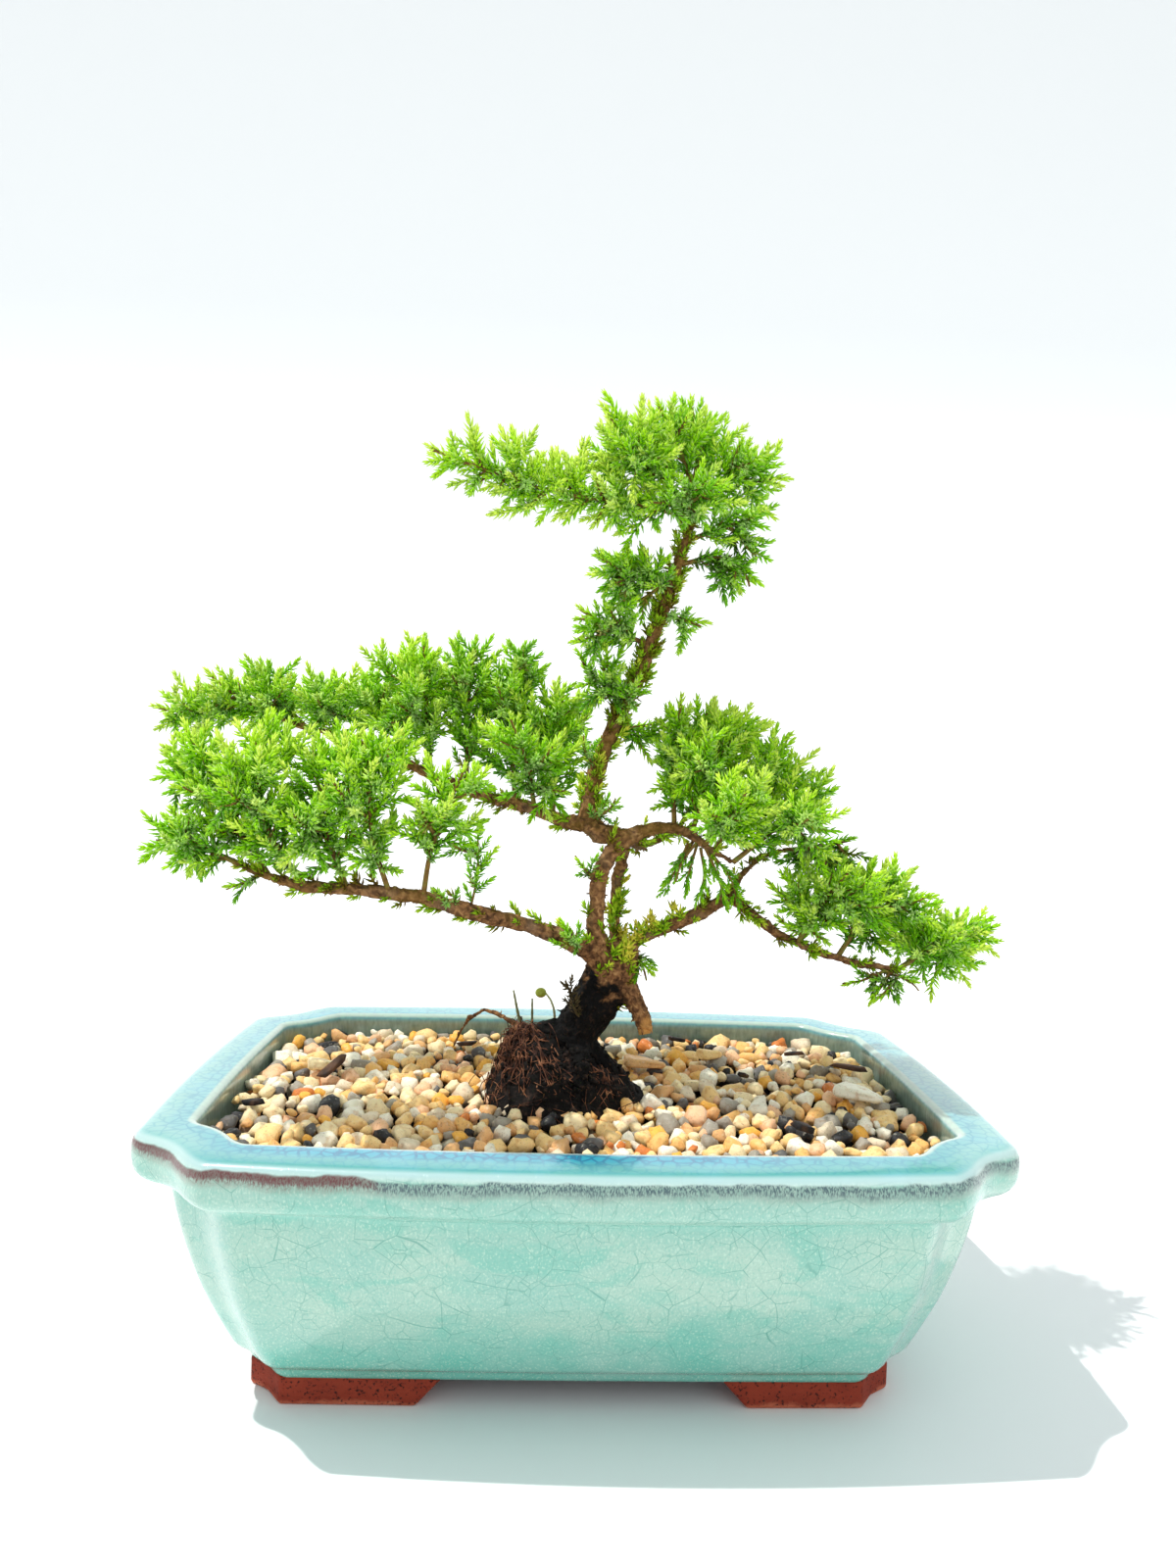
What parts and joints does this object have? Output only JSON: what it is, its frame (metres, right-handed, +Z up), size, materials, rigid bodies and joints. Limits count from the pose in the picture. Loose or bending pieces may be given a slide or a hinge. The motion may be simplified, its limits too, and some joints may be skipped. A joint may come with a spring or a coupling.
{
  "type": "flaky juniper bonsai",
  "caption": "Flaky juniper bonsai with a leaning trunk, layered sprays of short needles and a low glazed stoneware pot on bracket feet, filled with soil under a layer of pebbles",
  "frame": {"origin": "On the floor at the middle of the part's bounding box, which is under the middle of the pot", "axes": "+X to the viewer's right along the pot's long side, +Y away from the viewer, +Z up"},
  "size_m": [0.2968, 0.18, 0.3141],
  "materials": {
    "glaze": "glossy celadon glaze with a fine dark crackle, blue on the flat rim and brown along the lip",
    "terracotta": "unglazed red-brown clay of the feet and the underside",
    "screen_plastic": "matte black plastic mesh",
    "potting_soil": "damp, nearly black potting mix of composted bark",
    "pebbles": "worn pebbles in cream, tan, pink-grey, orange and a few near black",
    "bark": "rough, flaking brown bark, nearly black at the trunk's base",
    "foliage": "soft green needles with pale blue-green bands and yellow-green tips",
    "seedling_green": "yellow-green seed pod on a thin red-brown stem",
    "dead_stalk": "dry, pale brown"
  },
  "bodies": {
    "root": {"pot": "glaze", "drainage_screen_left": "screen_plastic", "drainage_screen_right": "screen_plastic", "soil": "potting_soil", "gravel": "pebbles", "juniper_wood": "bark", "seedling": "seedling_green", "dead_stalk_left": "dead_stalk", "dead_stalk_right": "dead_stalk", "leafy_stem_apex_tongue": "foliage", "leafy_stem_apex_left": "foliage", "leafy_stem_apex_top": "foliage", "leafy_stem_apex_back": "foliage", "leafy_stem_apex_right": "foliage", "leafy_stem_apex_front": "foliage", "leafy_stem_apex_low_right": "foliage", "leafy_stem_apex_hanging": "foliage", "leafy_stem_column_right": "foliage", "leafy_stem_column_top": "foliage", "leafy_stem_column_middle": "foliage", "leafy_stem_column_low": "foliage", "leafy_stem_column_behind": "foliage", "leafy_stem_column_foot": "foliage", "leafy_stem_upper_left_inner": "foliage", "leafy_stem_upper_left_front": "foliage", "leafy_stem_upper_left_second": "foliage", "leafy_stem_upper_left_third": "foliage", "leafy_stem_upper_left_fourth": "foliage", "leafy_stem_upper_left_fifth": "foliage", "leafy_stem_upper_left_sixth": "foliage", "leafy_stem_upper_left_seventh": "foliage", "leafy_stem_upper_left_tip": "foliage", "leafy_stem_lower_left_riser": "foliage", "leafy_stem_lower_left_drop": "foliage", "leafy_stem_lower_left_first": "foliage", "leafy_stem_lower_left_second": "foliage", "leafy_stem_lower_left_third": "foliage", "leafy_stem_lower_left_fourth": "foliage", "leafy_stem_lower_left_fifth": "foliage", "leafy_stem_lower_left_tip": "foliage", "leafy_stem_lower_left_low": "foliage", "leafy_stem_right_middle_left": "foliage", "leafy_stem_right_middle_top": "foliage", "leafy_stem_right_middle_right": "foliage", "leafy_stem_right_middle_front": "foliage", "leafy_stem_right_middle_outer": "foliage", "leafy_stem_right_middle_back": "foliage", "leafy_stem_right_hanging": "foliage", "leafy_stem_right_lower_inner": "foliage", "leafy_stem_right_lower_front": "foliage", "leafy_stem_right_lower_top": "foliage", "leafy_stem_right_lower_tip": "foliage", "leafy_stem_right_lower_drop": "foliage", "leafy_stem_knot_tuft": "foliage", "leafy_stem_front_stem_tuft": "foliage", "leafy_stem_crotch_tuft_left": "foliage", "leafy_stem_crotch_tuft_front": "foliage", "leafy_stem_crotch_tuft_right": "foliage"}
  },
  "joints": []
}
